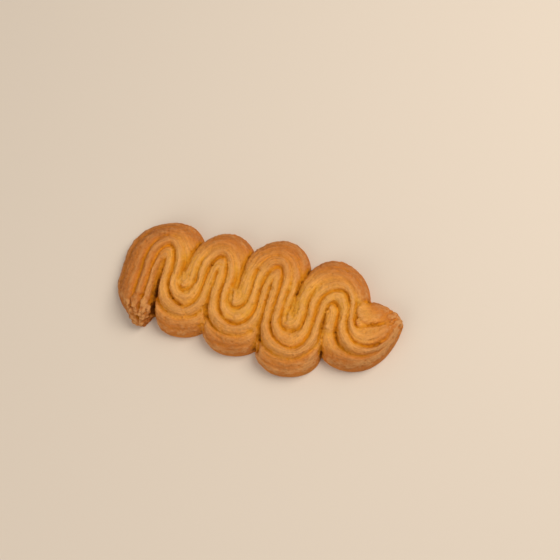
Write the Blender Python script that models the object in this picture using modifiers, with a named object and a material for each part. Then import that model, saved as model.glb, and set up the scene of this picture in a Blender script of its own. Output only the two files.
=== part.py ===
"""Shortbread biscuit: one ribbed rope of dough piped to and fro in overlapping loops and baked."""
import bmesh
import bpy
import numpy as np

MM = 0.001

# The rope's middle groove at the top of each loop, far and near in turn, in millimetres
LOOP_X = (-40.2, -27.8, -18.4, -7.4, 4.0, 15.6, 29.4, 42.0)
LOOP_Y = (11.2, -10.6, 12.1, -12.2, 13.6, -15.4, 10.6, -7.6)
# Reach of each loop beyond its middle groove, out to the edge
LOOP_REACH = (11.6, 11.0, 11.5, 11.1, 12.5, 10.0, 12.8, 9.4)
# Sideways shift of a loop's outermost edge from the middle between its two legs
LOOP_SHIFT = (0.8, -2.2, -0.8, -2.2, -0.5, -2.2, -4.6, -4.6)
# Sideways shift of a loop's pivot, which at a near loop lies under the leg that comes back over it
PIVOT_SHIFT = (0.6, -2.6, 0.4, -2.7, 0.6, -2.1, -2.3, -3.7)
# The middle groove in the legs between the loops, the broken start first
LEG_X = (-44.9, -36.8, -23.1, -15.5, -0.9, 6.1, 21.8, 33.8)
# Half widths of the rope left and right of its middle groove in each leg, along the piping
LEFT_HALF = (15.3, 9.5, 9.3, 9.0, 9.8, 8.5, 9.6, 5.6)
RIGHT_HALF = (4.9, 5.4, 5.2, 5.6, 4.8, 5.2, 4.8, 9.5)
# How far the inner ribs crowd towards the middle groove in each leg
LEFT_CROWD = (0.0, 0.24, 0.24, 0.24, 0.24, 0.24, 0.24, 0.24)
RIGHT_CROWD = (0.3, 1.0, 0.9, 1.0, 0.9, 1.0, 0.9, -0.6)

CROWN_HEIGHT = 13.15
CROWN_POWER = 0.8
FAR_CROWN_POWER = 1.15
RETURN_CROWN_POWER = 0.28
# Fuller crown of the right side in each leg, where it stands against its neighbour
RIGHT_LEG_POWER = (0.5, 0.4, 0.3, 0.3, 0.25, 0.25, 0.35, 0.2)
# Share of a side's half width at which a groove between two ribs lies, and the grooves' depths
GROOVE_PLACES = (-0.78, -0.41, 0.0, 0.51)
GROOVE_DEPTHS = (1.8, 2.2, 2.5, 2.3)
# How far the second groove moves towards the middle one in the returning and in the outgoing legs
RETURN_GROOVE_SHIFT = 0.13
OUTGOING_GROOVE_SHIFT = 0.08
START_GROOVE_SHIFT = 0.16
TAIL_GROOVE_SHIFT = -0.02
# Share of its depth that the outermost left groove keeps, in the first leg and in the far loops
START_RIM_SHARE = 0.5
FAR_RIM_SHARE = 0.3
# How much deeper the right groove is where an outgoing leg turns into a near loop
WEDGE_GAIN = 0.7
# How squarely a rib stands up between its two grooves
RIB_POWER = 2.5
# Share of a groove's depth that is lost on the outside of a loop
FAR_GROOVE_LOSS = 0.55
NEAR_GROOVE_LOSS = 0.15
# How far the rope stays full towards the pivot inside a loop
NEAR_FILL = 0.85
FAR_FILL = (0.5, 0.0, 0.5, 0.0, 0.5, 0.0, 0.9, 0.0)
# How far the rope's inner side is drawn in at each loop, and how evenly over its ribs
INNER_REACH = (8.4, 13.0, 8.4, 13.0, 8.0, 13.0, 9.6, 13.0)
INNER_SWELL = (2.0, 1.28, 2.0, 1.28, 2.0, 1.28, 1.2, 1.28)
# Share of an outer rib's reach that grows evenly with its place across, and the power that the rest grows by
FAR_EVEN = 0.8
FAR_REACH_POWER = 3
NEAR_EVEN = 0.75
NEAR_REACH_POWER = 4
# Length over which a leg bends into its loop, at the middle groove
BEND_LENGTH = 9.0
# How fast the bend shortens towards the pivot, far and near, and the share that is left there
FAR_BEND_POWER = 0.8
NEAR_BEND_POWER = 1.8
LEAST_BEND = 0.05
# How much longer the bend is at the outer edge, for the far loops and for the near ones
FAR_BEND = (0.9, 0.0, 0.75, 0.0, 0.6, 0.0, 0.7, 0.0)
NEAR_BEND = (0.0, 0.1, 0.0, 0.1, 0.0, 0.1, 0.0, -0.2)
# Each returning leg leans on the one before it, whose side sinks under it past its outer groove
RETURN_LIFT = 0.7
# The fuller crown of a returning leg: how fast it comes after a far loop, its share in an outgoing leg,
# and the power with which the lift of its left shoulder ends at the edge
RETURN_GAIN = 1.6
OUTGOING_RETURN = 0.7
SHOULDER_POWER = 6
OUTGOING_SINK = 1.1
SINK_START = (0.0, 0.42, 0.0, 0.46, 0.0, 0.58, 0.0, 0.36)
SINK_LENGTH = 0.10
# Seams where one leg is laid against another: places along each from its inner end, with the depth there
SEAMS = (
    ((-40.1, 4.6, 0.5), (-40.9, 0.0, 2.4), (-41.1, -5.0, 4.2), (-41.1, -10.0, 5.6), (-39.6, -19.0, 6.5)),
    ((-32.6, 1.0, 1.3), (-32.4, 6.0, 1.8), (-31.8, 11.0, 1.3), (-30.4, 16.4, 1.0)),
    ((-19.6, 5.0, 0.4), (-19.6, -2.0, 1.2), (-19.4, -9.5, 1.6), (-18.9, -17.0, 2.6)),
    ((-11.0, -0.6, 1.3), (-10.7, 5.0, 1.8), (-10.4, 12.4, 1.3), (-9.6, 17.3, 1.0)),
    ((2.4, 6.2, 0.3), (2.5, -1.8, 0.7), (2.9, -9.5, 1.2), (3.4, -14.0, 2.8), (3.6, -19.0, 6.5)),
    ((2.6, -13.5, 2.5), (2.2, -19.0, 6.5)),
    ((11.6, -3.4, 1.5), (12.1, 1.4, 2.0), (12.5, 8.8, 1.4), (13.6, 17.1, 1.0)),
    ((25.4, 3.0, 0.5), (25.6, -3.3, 0.8), (26.0, -10.9, 1.4), (26.6, -15.0, 4.0), (27.0, -19.0, 6.5)),
    ((39.6, 10.6, 2.0), (37.0, 9.0, 2.0), (35.9, 5.8, 2.0), (36.6, 2.4, 1.8), (39.6, 0.7, 1.6),
     (44.1, 1.3, 1.2), (49.4, 3.6, 0.5)),
    ((43.0, -7.4, 0.6), (47.2, -5.2, 1.6), (51.4, -1.2, 1.8)),
    ((44.6, 3.4, 0.5), (46.8, 5.6, 1.3), (48.6, 9.6, 1.2)),
)
SEAM_WIDTH = 0.75
# Pads of dough pressed in between the legs: place, half width, half length and height
PADS = (
    (-32.3, -0.4, 2.2, 4.4, 12.3),
    (-11.1, -1.4, 2.2, 4.2, 12.3),
    (11.8, -1.2, 2.2, 6.8, 12.3),
    (36.4, 4.2, 2.0, 3.4, 12.3),
    (-41.6, 4.4, 1.6, 3.4, 11.2),
    (-19.8, 4.0, 1.6, 3.4, 11.2),
    (3.0, 5.4, 1.6, 3.4, 11.2),
    (28.0, -1.0, 2.7, 6.0, 12.6),
)
PAD_POWER = 0.2
PAD_SQUARENESS = 4
# The broken start of the rope and the torn tip at its end
START_Y = -20.2
START_LEFT_BACK = 4.6
START_RIGHT_BACK = 2.4
START_HEIGHT_SHARE = 0.35
START_SLOPE = 4.6
START_SLOPE_POWER = 0.7
START_TAPER = 0.30
START_TAPER_RIGHT = 0.55
TAIL_X = 46.0
# The tail's curve: a handle counted from the last loop's top, a corner and the torn tip, and how far each is
# shifted for the rope's right edge and for its left edge
TAIL_HANDLE = (6.0, 0.0)
TAIL_HANDLE_RIGHT = (6.0, 0.0)
TAIL_HANDLE_LEFT = (-7.5, 6.3)
TAIL_CORNER = (50.5, -1.5)
TAIL_CORNER_RIGHT = (2.3, -4.5)
TAIL_CORNER_LEFT = (-8.5, 14.5)
TIP = (52.6, 6.4)
TIP_RIGHT = (0.8, -2.0)
TIP_LEFT = (-2.0, 2.0)
TIP_HEIGHT_SHARE = 0.5
TIP_FALL_POWER = 3

# The rope is carried below the tray level and then cut off flat there
BASE_DEPTH = 2.0
ROWS_PER_SPAN = 90
COLUMNS = 97
PAD_COLUMNS = 31
VOXEL = 0.55 * MM
SMOOTH_ROUNDS = 3
TRIANGLE_BUDGET = 11600

CRUST_COLOUR = (0.60, 0.32, 0.10, 1.0)
CRUST_ROUGHNESS = 0.85


def side_share(across):
    """Split a sideways coordinate from -1 to 1 into the left share and the right share, each from 0 to 1."""
    return np.clip(-across, 0.0, 1.0), np.clip(across, 0.0, 1.0)


def is_far(loop):
    """Far loops come first and then every other one."""
    return loop % 2 == 0


def loop_point(loop, across):
    """Top of a loop for every rib: the groove's point moved outwards or inwards by the rib's reach."""
    left, right = side_share(across)
    reach = LOOP_REACH[loop]
    before = LEG_X[loop]
    after = LEG_X[loop + 1] if loop + 1 < len(LEG_X) else TAIL_X
    middle = 0.5 * (before + after)
    drift = (LOOP_X[loop] - middle) * (1.0 - np.abs(across)) ** 2
    if is_far(loop):
        outwards = reach * (FAR_EVEN * left + (1.0 - FAR_EVEN) * left ** FAR_REACH_POWER)
        inwards = INNER_REACH[loop] * (INNER_SWELL[loop] * right - (INNER_SWELL[loop] - 1.0) * right ** 2)
        sideways = LOOP_SHIFT[loop] * left ** 2 + PIVOT_SHIFT[loop] * right
        return middle + drift + sideways, LOOP_Y[loop] + outwards - inwards
    outwards = reach * (NEAR_EVEN * right + (1.0 - NEAR_EVEN) * right ** NEAR_REACH_POWER)
    inwards = INNER_REACH[loop] * (INNER_SWELL[loop] * left - (INNER_SWELL[loop] - 1.0) * left ** 2)
    sideways = LOOP_SHIFT[loop] * right ** 2 + PIVOT_SHIFT[loop] * left
    return middle + drift + sideways, LOOP_Y[loop] - outwards + inwards


def bend_length(loop, across):
    """Length of the bend into a loop: long for the outer ribs, short for those near the pivot."""
    left, right = side_share(across)
    if is_far(loop):
        return BEND_LENGTH * ((1.0 + FAR_BEND[loop] * left) * (1.0 - right) ** FAR_BEND_POWER + LEAST_BEND)
    return BEND_LENGTH * ((1.0 + NEAR_BEND[loop] * right) * (1.0 - left) ** NEAR_BEND_POWER + LEAST_BEND)


def leg_x(leg, across):
    """Sideways place of every rib in a leg; the even legs run away from the near side, the odd ones back."""
    left, right = side_share(across)
    heading = 1.0 if leg % 2 == 0 else -1.0
    left_offset = LEFT_HALF[leg] * left * (1.0 + LEFT_CROWD[leg] * (1.0 - left))
    right_offset = RIGHT_HALF[leg] * right * (1.0 + RIGHT_CROWD[leg] * (1.0 - right))
    return LEG_X[leg] + heading * (right_offset - left_offset)


def span(leg, across, share):
    """The rope between two loop tops: a bend, a straight leg and a bend, each a third of the share."""
    straight_x = leg_x(leg, across)
    before_x, before_y = loop_point(leg - 1, across)
    after_x, after_y = loop_point(leg, across)
    heading = 1.0 if leg % 2 == 0 else -1.0
    stage = 3.0 * share
    leave = 0.5 * np.pi * np.clip(stage, 0.0, 1.0)
    along = np.clip(stage - 1.0, 0.0, 1.0)
    arrive = 0.5 * np.pi * np.clip(stage - 2.0, 0.0, 1.0)
    straight_start = before_y + heading * bend_length(leg - 1, across)
    straight_end = after_y - heading * bend_length(leg, across)
    x = straight_x + (before_x - straight_x) * (1.0 - np.sin(leave))
    x = x + (after_x - straight_x) * (1.0 - np.cos(arrive))
    y = before_y + (straight_start - before_y) * (1.0 - np.cos(leave))
    y = y + (straight_end - straight_start) * along + (after_y - straight_end) * np.sin(arrive)
    return x, y


def start_edge(across):
    """Where each rib of the broken start begins: further back by the square of its distance across."""
    left, right = side_share(across)
    return START_Y + START_LEFT_BACK * left ** 2 + START_RIGHT_BACK * right ** 2


def start_span(across, share):
    """The first leg, from the broken start to the first loop."""
    straight_x = leg_x(0, across)
    after_x, after_y = loop_point(0, across)
    start_y = start_edge(across)
    along = np.clip(2.0 * share, 0.0, 1.0)
    arrive = 0.5 * np.pi * np.clip(2.0 * share - 1.0, 0.0, 1.0)
    narrowing = np.where(across > 0.0, START_TAPER_RIGHT, START_TAPER)
    taper = narrowing * np.clip(1.0 - 2.0 * along, 0.0, 1.0) ** 2
    x = straight_x + (LEG_X[0] - straight_x) * taper + (after_x - straight_x) * (1.0 - np.cos(arrive))
    straight_end = after_y - bend_length(0, across)
    y = start_y + (straight_end - start_y) * along + (after_y - straight_end) * np.sin(arrive)
    return x, y


def tail_span(across, share):
    """The end of the rope: a cubic for every rib from the last loop's top to the torn tip.

    The left edge's shifts grow with the left share, sooner along the biscuit than across it.
    """
    left, right = side_share(across)
    rest = 1.0 - share
    weights = (rest ** 3, 3.0 * rest ** 2 * share, 3.0 * rest * share ** 2, share ** 3)
    places = []
    for axis, begin in enumerate(loop_point(len(LOOP_X) - 1, across)):
        handle = begin + TAIL_HANDLE[axis] + TAIL_HANDLE_RIGHT[axis] * right
        handle = handle + TAIL_HANDLE_LEFT[axis] * left ** (1.0 + axis)
        corner = TAIL_CORNER[axis] + TAIL_CORNER_RIGHT[axis] * right
        corner = corner + TAIL_CORNER_LEFT[axis] * left ** (1.0 + 0.5 * axis)
        tip = TIP[axis] + TIP_RIGHT[axis] * right + TIP_LEFT[axis] * left
        places.append(weights[0] * begin + weights[1] * handle + weights[2] * corner + weights[3] * tip)
    return places


def rib_grooves(across, far_loop, near_loop, rim_share, groove_shift, wedge):
    """Depth of the grooves between ribs: from a rib's middle it grows with a power of the way to each groove.

    The grooves on the outside of a loop are weaker there. The second one from the left is shifted inwards.
    """
    left_share = 1.0 - FAR_GROOVE_LOSS * far_loop
    right_share = 1.0 - NEAR_GROOVE_LOSS * near_loop + WEDGE_GAIN * wedge
    shares = (rim_share, left_share, 1.0, right_share)
    places = (-1.0, GROOVE_PLACES[0], GROOVE_PLACES[1] + groove_shift, *GROOVE_PLACES[2:], 1.0)
    depths = [0.0] + [depth * share for depth, share in zip(GROOVE_DEPTHS, shares)] + [0.0]
    total = np.zeros(np.broadcast(across, far_loop).shape)
    for rib in range(len(places) - 1):
        middle = 0.5 * (places[rib] + places[rib + 1])
        half = 0.5 * (places[rib + 1] - places[rib])
        way = (across - middle) / half
        inside = (way >= -1.0) & (way < 1.0)
        drop = depths[rib] * np.clip(-way, 0.0, 1.0) ** RIB_POWER
        drop = drop + depths[rib + 1] * np.clip(way, 0.0, 1.0) ** RIB_POWER
        total = total + inside * drop
    return total


def rope_height(across, returning, outer, far_loop, near_loop, right_power, far_fill):
    """Height of the rope over the tray before it is ribbed: a crown 1 - across squared to a power.

    Inside a loop the square is scaled down, so the rope stays full up to the pivot. Outer is 1 where the left
    side is the biscuit's own broad flank.
    """
    left, right = side_share(across)
    left_power = CROWN_POWER + (RETURN_CROWN_POWER - CROWN_POWER) * returning
    left_power = left_power + (FAR_CROWN_POWER - CROWN_POWER) * outer
    power = np.where(across > 0.0, right_power, left_power)
    fall = left ** 2 * (1.0 - NEAR_FILL * near_loop) + right ** 2 * (1.0 - far_fill * far_loop)
    return CROWN_HEIGHT * np.clip(1.0 - fall, 0.0, 1.0) ** (0.5 * power)


def seam_depth(x, y):
    """Depth of the seams pressed into the dough: a seam's own depth times exp(-distance / width)."""
    deepest = np.zeros(x.shape)
    for seam in SEAMS:
        for begin, end in zip(seam[:-1], seam[1:]):
            way_x = end[0] - begin[0]
            way_y = end[1] - begin[1]
            share = ((x - begin[0]) * way_x + (y - begin[1]) * way_y) / (way_x ** 2 + way_y ** 2)
            share = np.clip(share, 0.0, 1.0)
            distance = np.hypot(x - begin[0] - share * way_x, y - begin[1] - share * way_y)
            depth = begin[2] + (end[2] - begin[2]) * share
            deepest = np.maximum(deepest, depth * np.exp(-distance / SEAM_WIDTH))
    return deepest


def rope_surface():
    """Grid of points over the whole rope, rows along the piping and columns across it."""
    angle = np.linspace(-0.5 * np.pi, 0.5 * np.pi, COLUMNS)
    across = np.sin(angle)[None, :]
    left = np.clip(-across, 0.0, 1.0)
    shoulder = left * (1.0 - left ** SHOULDER_POWER)
    rows = np.linspace(0.0, 1.0, ROWS_PER_SPAN, endpoint=False)[:, None]
    last_leg = len(LEG_X) - 1
    pieces = []
    for leg in range(last_leg + 2):
        away = leg % 2 == 0
        leaving = np.cos(0.5 * np.pi * np.clip(2.0 * rows, 0.0, 1.0)) ** 2
        arriving = np.cos(0.5 * np.pi * np.clip(2.0 - 2.0 * rows, 0.0, 1.0)) ** 2
        in_leg = 1.0 - leaving - arriving
        near_loop = leaving if away else arriving
        far_loop = arriving if away else leaving
        if leg == 0:
            near_loop = 0.0 * rows
            x, y = start_span(across, rows)
            right_power = CROWN_POWER + (RIGHT_LEG_POWER[leg] - CROWN_POWER) * (1.0 - far_loop)
            z = rope_height(across, 0.0 * rows, 1.0, far_loop, near_loop, right_power, FAR_FILL[leg])
            groove_shift = START_GROOVE_SHIFT * (1.0 - far_loop)
            z = z - rib_grooves(across, far_loop, near_loop, START_RIM_SHARE, groove_shift, 0.0)
            slope = np.clip((y - start_edge(across)) / START_SLOPE, 0.0, 1.0) ** START_SLOPE_POWER
            z = z * (START_HEIGHT_SHARE + (1.0 - START_HEIGHT_SHARE) * slope)
        elif leg <= last_leg:
            x, y = span(leg, across, rows)
            returning = OUTGOING_RETURN * in_leg
            if away:
                returning = np.clip(RETURN_GAIN * (1.0 - far_loop), 0.0, 1.0)
            sunk = np.clip((left - SINK_START[leg]) / SINK_LENGTH, 0.0, 1.0)
            sunk = sunk * sunk * (3.0 - 2.0 * sunk)
            right_power = CROWN_POWER + (RIGHT_LEG_POWER[leg] - CROWN_POWER) * in_leg
            far_fill = FAR_FILL[leg] if away else FAR_FILL[leg - 1]
            wedge = 0.0 * rows if away else 4.0 * near_loop * (1.0 - near_loop)
            groove_shift = (RETURN_GROOVE_SHIFT if away else OUTGOING_GROOVE_SHIFT) * in_leg
            if leg == last_leg:
                groove_shift = groove_shift + TAIL_GROOVE_SHIFT * arriving
            z = rope_height(across, returning, far_loop, far_loop, near_loop, right_power, far_fill)
            z = z - rib_grooves(across, far_loop, near_loop, FAR_RIM_SHARE * far_loop, groove_shift, wedge)
            z = z + (RETURN_LIFT * shoulder if away else -OUTGOING_SINK * sunk) * in_leg
        else:
            far_loop = 0.0 * rows
            x, y = tail_span(across, rows)
            z = rope_height(across, 0.0 * rows, 0.0, far_loop, near_loop, CROWN_POWER, 0.0)
            z = z - rib_grooves(across, far_loop, near_loop, 0.0, TAIL_GROOVE_SHIFT, 0.0)
            z = z * (1.0 - (1.0 - TIP_HEIGHT_SHARE) * rows ** TIP_FALL_POWER)
        pieces.append(np.stack([x, y, z], axis=-1))
    surface = np.concatenate(pieces, axis=0)
    surface[..., 2] = np.maximum(surface[..., 2] - seam_depth(surface[..., 0], surface[..., 1]), 0.0)
    return surface


def pad_surface(x, y, half_width, half_length, height):
    """Rounded pad: height times (1 - u squared) (1 - v to a power) to a power, u across it and v along it."""
    angle = np.linspace(-0.5 * np.pi, 0.5 * np.pi, PAD_COLUMNS)
    u = np.sin(angle)[None, :]
    v = np.sin(angle)[:, None]
    top = height * np.clip((1.0 - u ** 2) * (1.0 - v ** PAD_SQUARENESS), 0.0, 1.0) ** PAD_POWER
    pad_x = x + half_width * u + 0.0 * v
    pad_y = y + half_length * v + 0.0 * u
    return np.stack([pad_x, pad_y, np.maximum(top - seam_depth(pad_x, pad_y), 0.0)], axis=-1)


def closed_rope(surface):
    """Close the grid into a tube with a floor below the tray level and a cap at each end."""
    rows, columns = surface.shape[:2]
    floor = surface[:, ::-1, :].copy()
    floor[..., 2] = -BASE_DEPTH
    ring = np.concatenate([surface, floor], axis=1)
    around = ring.shape[1]
    points = ring.reshape(-1, 3)
    first = np.arange(rows - 1)[:, None] * around
    step = np.arange(around)[None, :]
    after = (step + 1) % around
    quads = np.stack([first + step, first + after, first + around + after, first + around + step], axis=-1)
    top = np.arange(columns - 1)
    below = around - 1 - top
    start_cap = np.stack([top, below, below - 1, top + 1], axis=-1)
    end_cap = start_cap[:, ::-1] + (rows - 1) * around
    return points, np.concatenate([quads.reshape(-1, 4), start_cap, end_cap])


def crust_material():
    """Pale golden brown, dull crust of a baked butter biscuit."""
    material = bpy.data.materials.new("baked_shortbread")
    material.use_nodes = True
    shader = material.node_tree.nodes["Principled BSDF"]
    shader.inputs["Base Color"].default_value = CRUST_COLOUR
    shader.inputs["Roughness"].default_value = CRUST_ROUGHNESS
    shader.inputs["Metallic"].default_value = 0.0
    return material


def apply_modifier(biscuit, modifier):
    """Make one modifier's result the object's own mesh."""
    bpy.context.view_layer.objects.active = biscuit
    bpy.ops.object.modifier_apply(modifier=modifier.name)


def cut_flat(mesh):
    """Cut the fused rope off at the tray level and close the cut with one flat floor."""
    work = bmesh.new()
    work.from_mesh(mesh)
    everything = list(work.verts) + list(work.edges) + list(work.faces)
    bmesh.ops.bisect_plane(
        work, geom=everything, dist=1e-7, plane_co=(0.0, 0.0, 0.0), plane_no=(0.0, 0.0, 1.0), clear_inner=True
    )
    rim = [edge for edge in work.edges if edge.is_boundary]
    bmesh.ops.holes_fill(work, edges=rim, sides=0)
    bmesh.ops.triangulate(work, faces=list(work.faces))
    bmesh.ops.recalc_face_normals(work, faces=list(work.faces))
    work.to_mesh(mesh)
    work.free()


def centre_on_base(mesh):
    """Move the mesh so that the middle of its bounding box's floor lies at the origin."""
    flat = np.empty(len(mesh.vertices) * 3)
    mesh.vertices.foreach_get("co", flat)
    points = flat.reshape(-1, 3)
    low = points.min(axis=0)
    high = points.max(axis=0)
    points -= np.array([0.5 * (low[0] + high[0]), 0.5 * (low[1] + high[1]), low[2]])
    mesh.vertices.foreach_set("co", points.ravel())
    mesh.update()


def build():
    """Make the biscuit in its own collection."""
    for old in list(bpy.data.objects):
        bpy.data.objects.remove(old, do_unlink=True)
    collection = bpy.data.collections.new("shortbread_biscuit")
    bpy.context.scene.collection.children.link(collection)

    bodies = [closed_rope(rope_surface())] + [closed_rope(pad_surface(*pad)) for pad in PADS]
    starts = np.cumsum([0] + [len(points) for points, faces in bodies])
    points = np.concatenate([points for points, faces in bodies])
    faces = np.concatenate([body[1] + start for body, start in zip(bodies, starts)])
    mesh = bpy.data.meshes.new("shortbread_biscuit")
    mesh.from_pydata((points * MM).tolist(), [], faces.tolist())
    biscuit = bpy.data.objects.new("shortbread_biscuit", mesh)
    collection.objects.link(biscuit)
    mesh.materials.append(crust_material())

    fuse = biscuit.modifiers.new("fuse", "REMESH")
    fuse.mode = "VOXEL"
    fuse.voxel_size = VOXEL
    apply_modifier(biscuit, fuse)
    soften = biscuit.modifiers.new("soften", "SMOOTH")
    soften.factor = 0.5
    soften.iterations = SMOOTH_ROUNDS
    apply_modifier(biscuit, soften)
    thin = biscuit.modifiers.new("thin", "DECIMATE")
    thin.ratio = TRIANGLE_BUDGET / (2.0 * len(biscuit.data.polygons))
    apply_modifier(biscuit, thin)
    cut_flat(biscuit.data)
    centre_on_base(biscuit.data)


build()
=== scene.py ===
"""Piped shortbread biscuit, baked golden: the ribbed rope of dough, its crumb and its crust."""

import bmesh
import bpy
import numpy as np
from mathutils import Matrix, Vector


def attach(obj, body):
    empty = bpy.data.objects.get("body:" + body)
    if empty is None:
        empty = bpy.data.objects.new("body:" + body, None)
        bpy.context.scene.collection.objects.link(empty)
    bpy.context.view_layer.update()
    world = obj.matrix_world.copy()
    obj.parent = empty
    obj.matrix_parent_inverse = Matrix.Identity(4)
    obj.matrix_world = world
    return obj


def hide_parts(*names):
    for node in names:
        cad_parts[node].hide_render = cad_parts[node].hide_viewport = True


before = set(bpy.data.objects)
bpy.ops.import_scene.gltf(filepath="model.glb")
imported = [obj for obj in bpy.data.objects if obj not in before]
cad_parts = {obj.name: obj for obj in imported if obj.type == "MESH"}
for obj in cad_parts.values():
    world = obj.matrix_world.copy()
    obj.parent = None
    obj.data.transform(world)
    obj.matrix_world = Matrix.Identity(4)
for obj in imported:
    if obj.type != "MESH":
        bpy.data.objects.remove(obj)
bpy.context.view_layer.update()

MM = 0.001

# The rope's middle groove at the top of each loop, far and near in turn, in millimetres
LOOP_X = (-40.2, -27.8, -18.4, -7.4, 4.0, 15.6, 29.4, 42.0)
LOOP_Y = (11.2, -10.6, 12.1, -12.2, 13.6, -15.4, 10.6, -7.6)
# Reach of each loop beyond its middle groove, out to the edge
LOOP_REACH = (11.6, 11.0, 11.5, 11.1, 12.5, 10.0, 12.8, 9.4)
# Sideways shift of a loop's outermost edge from the middle between its two legs
LOOP_SHIFT = (0.8, -2.2, -0.8, -2.2, -0.5, -2.2, -4.6, -4.6)
# Sideways shift of a loop's pivot, which at a near loop lies under the leg that comes back over it
PIVOT_SHIFT = (0.6, -2.6, 0.4, -2.7, 0.6, -2.1, -2.3, -3.7)
# The middle groove in the legs between the loops, the broken start first
LEG_X = (-44.9, -36.8, -23.1, -15.5, -0.9, 6.1, 21.8, 33.8)
# Half widths of the rope left and right of its middle groove in each leg, along the piping
LEFT_HALF = (15.3, 9.5, 9.3, 9.0, 9.8, 8.5, 9.6, 5.6)
RIGHT_HALF = (4.9, 5.4, 5.2, 5.6, 4.8, 5.2, 4.8, 9.5)
# How far the inner ribs crowd towards the middle groove in each leg
LEFT_CROWD = (0.0, 0.24, 0.24, 0.24, 0.24, 0.24, 0.24, 0.24)
RIGHT_CROWD = (0.3, 1.0, 0.9, 1.0, 0.9, 1.0, 0.9, -0.6)

CROWN_HEIGHT = 13.0
CROWN_POWER = 0.8
FAR_CROWN_POWER = 1.15
RETURN_CROWN_POWER = 0.28
# Fuller crown of the right side in each leg, where it stands against its neighbour
RIGHT_LEG_POWER = (0.5, 0.4, 0.3, 0.3, 0.25, 0.25, 0.35, 0.2)
# Share of a side's half width at which a groove between two ribs lies, and the grooves' depths
GROOVE_PLACES = (-0.78, -0.41, 0.0, 0.51)
GROOVE_DEPTHS = (1.8, 2.2, 2.5, 2.3)
# How far the second groove moves towards the middle one in the returning and in the outgoing legs
RETURN_GROOVE_SHIFT = 0.13
OUTGOING_GROOVE_SHIFT = 0.08
START_GROOVE_SHIFT = 0.16
TAIL_GROOVE_SHIFT = -0.02
# Share of its depth that the outermost left groove keeps, in the first leg and in the far loops
START_RIM_SHARE = 0.5
FAR_RIM_SHARE = 0.3
# How much deeper the right groove is where an outgoing leg turns into a near loop
WEDGE_GAIN = 0.7
# How squarely a rib stands up between its two grooves
RIB_POWER = 2.5
# Share of a groove's depth that is lost on the outside of a loop
FAR_GROOVE_LOSS = 0.55
NEAR_GROOVE_LOSS = 0.15
# How far the rope stays full towards the pivot inside a loop
NEAR_FILL = 0.85
FAR_FILL = (0.5, 0.0, 0.5, 0.0, 0.5, 0.0, 0.9, 0.0)
# How far the rope's inner side is drawn in at each loop, and how evenly over its ribs
INNER_REACH = (8.4, 13.0, 8.4, 13.0, 8.0, 13.0, 9.6, 13.0)
INNER_SWELL = (2.0, 1.28, 2.0, 1.28, 2.0, 1.28, 1.2, 1.28)
# Share of an outer rib's reach that grows evenly with its place across, and the power that the rest grows
# by
FAR_EVEN = 0.8
FAR_REACH_POWER = 3
NEAR_EVEN = 0.75
NEAR_REACH_POWER = 4
# Length over which a leg bends into its loop, at the middle groove
BEND_LENGTH = 9.0
# How fast the bend shortens towards the pivot, far and near, and the share that is left there
FAR_BEND_POWER = 0.8
NEAR_BEND_POWER = 1.8
LEAST_BEND = 0.05
# How much longer the bend is at the outer edge, for the far loops and for the near ones
FAR_BEND = (0.9, 0.0, 0.75, 0.0, 0.6, 0.0, 0.7, 0.0)
NEAR_BEND = (0.0, 0.1, 0.0, 0.1, 0.0, 0.1, 0.0, -0.2)
# Each returning leg leans on the one before it, whose side sinks under it past its outer groove
RETURN_LIFT = 0.7
# The fuller crown of a returning leg: how fast it comes after a far loop, its share in an outgoing leg,
# and the power with which the lift of its left shoulder ends at the edge
RETURN_GAIN = 1.6
OUTGOING_RETURN = 0.7
SHOULDER_POWER = 6
OUTGOING_SINK = 1.1
SINK_START = (0.0, 0.42, 0.0, 0.46, 0.0, 0.58, 0.0, 0.36)
SINK_LENGTH = 0.10
# Seams where one leg is laid against another: places along each from its inner end, with the depth there
SEAMS = (
    ((-40.1, 4.6, 0.5), (-40.9, 0.0, 2.4), (-41.1, -5.0, 4.2), (-41.1, -10.0, 5.6), (-39.6, -19.0, 6.5)),
    ((-32.6, 1.0, 1.3), (-32.4, 6.0, 1.8), (-31.8, 11.0, 1.3), (-30.4, 16.4, 1.0)),
    ((-19.6, 5.0, 0.4), (-19.6, -2.0, 1.2), (-19.4, -9.5, 1.6), (-18.9, -17.0, 2.6)),
    ((-11.0, -0.6, 1.3), (-10.7, 5.0, 1.8), (-10.4, 12.4, 1.3), (-9.6, 17.3, 1.0)),
    ((2.4, 6.2, 0.3), (2.5, -1.8, 0.7), (2.9, -9.5, 1.2), (3.4, -14.0, 2.8), (3.6, -19.0, 6.5)),
    ((2.6, -13.5, 2.5), (2.2, -19.0, 6.5)),
    ((11.6, -3.4, 1.5), (12.1, 1.4, 2.0), (12.5, 8.8, 1.4), (13.6, 17.1, 1.0)),
    ((25.4, 3.0, 0.5), (25.6, -3.3, 0.8), (26.0, -10.9, 1.4), (26.6, -15.0, 4.0), (27.0, -19.0, 6.5)),
    ((39.6, 10.6, 2.0), (37.0, 9.0, 2.0), (35.9, 5.8, 2.0), (36.6, 2.4, 1.8), (39.6, 0.7, 1.6),
     (44.1, 1.3, 1.2), (49.4, 3.6, 0.5)),
    ((43.0, -7.4, 0.6), (47.2, -5.2, 1.6), (51.4, -1.2, 1.8)),
    ((44.6, 3.4, 0.5), (46.8, 5.6, 1.3), (48.6, 9.6, 1.2)),
)
SEAM_WIDTH = 0.75
# Pads of dough pressed in between the legs: place, half width, half length and height
PADS = (
    (-32.3, -0.4, 2.2, 4.4, 12.3),
    (-11.1, -1.4, 2.2, 4.2, 12.3),
    (11.8, -1.2, 2.2, 6.8, 12.3),
    (36.4, 4.2, 2.0, 3.4, 12.3),
    (-41.6, 4.4, 1.6, 3.4, 11.2),
    (-19.8, 4.0, 1.6, 3.4, 11.2),
    (3.0, 5.4, 1.6, 3.4, 11.2),
    (28.0, -1.0, 2.7, 6.0, 12.6),
)
PAD_POWER = 0.2
PAD_SQUARENESS = 4
PAD_ROWS = 41
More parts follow.
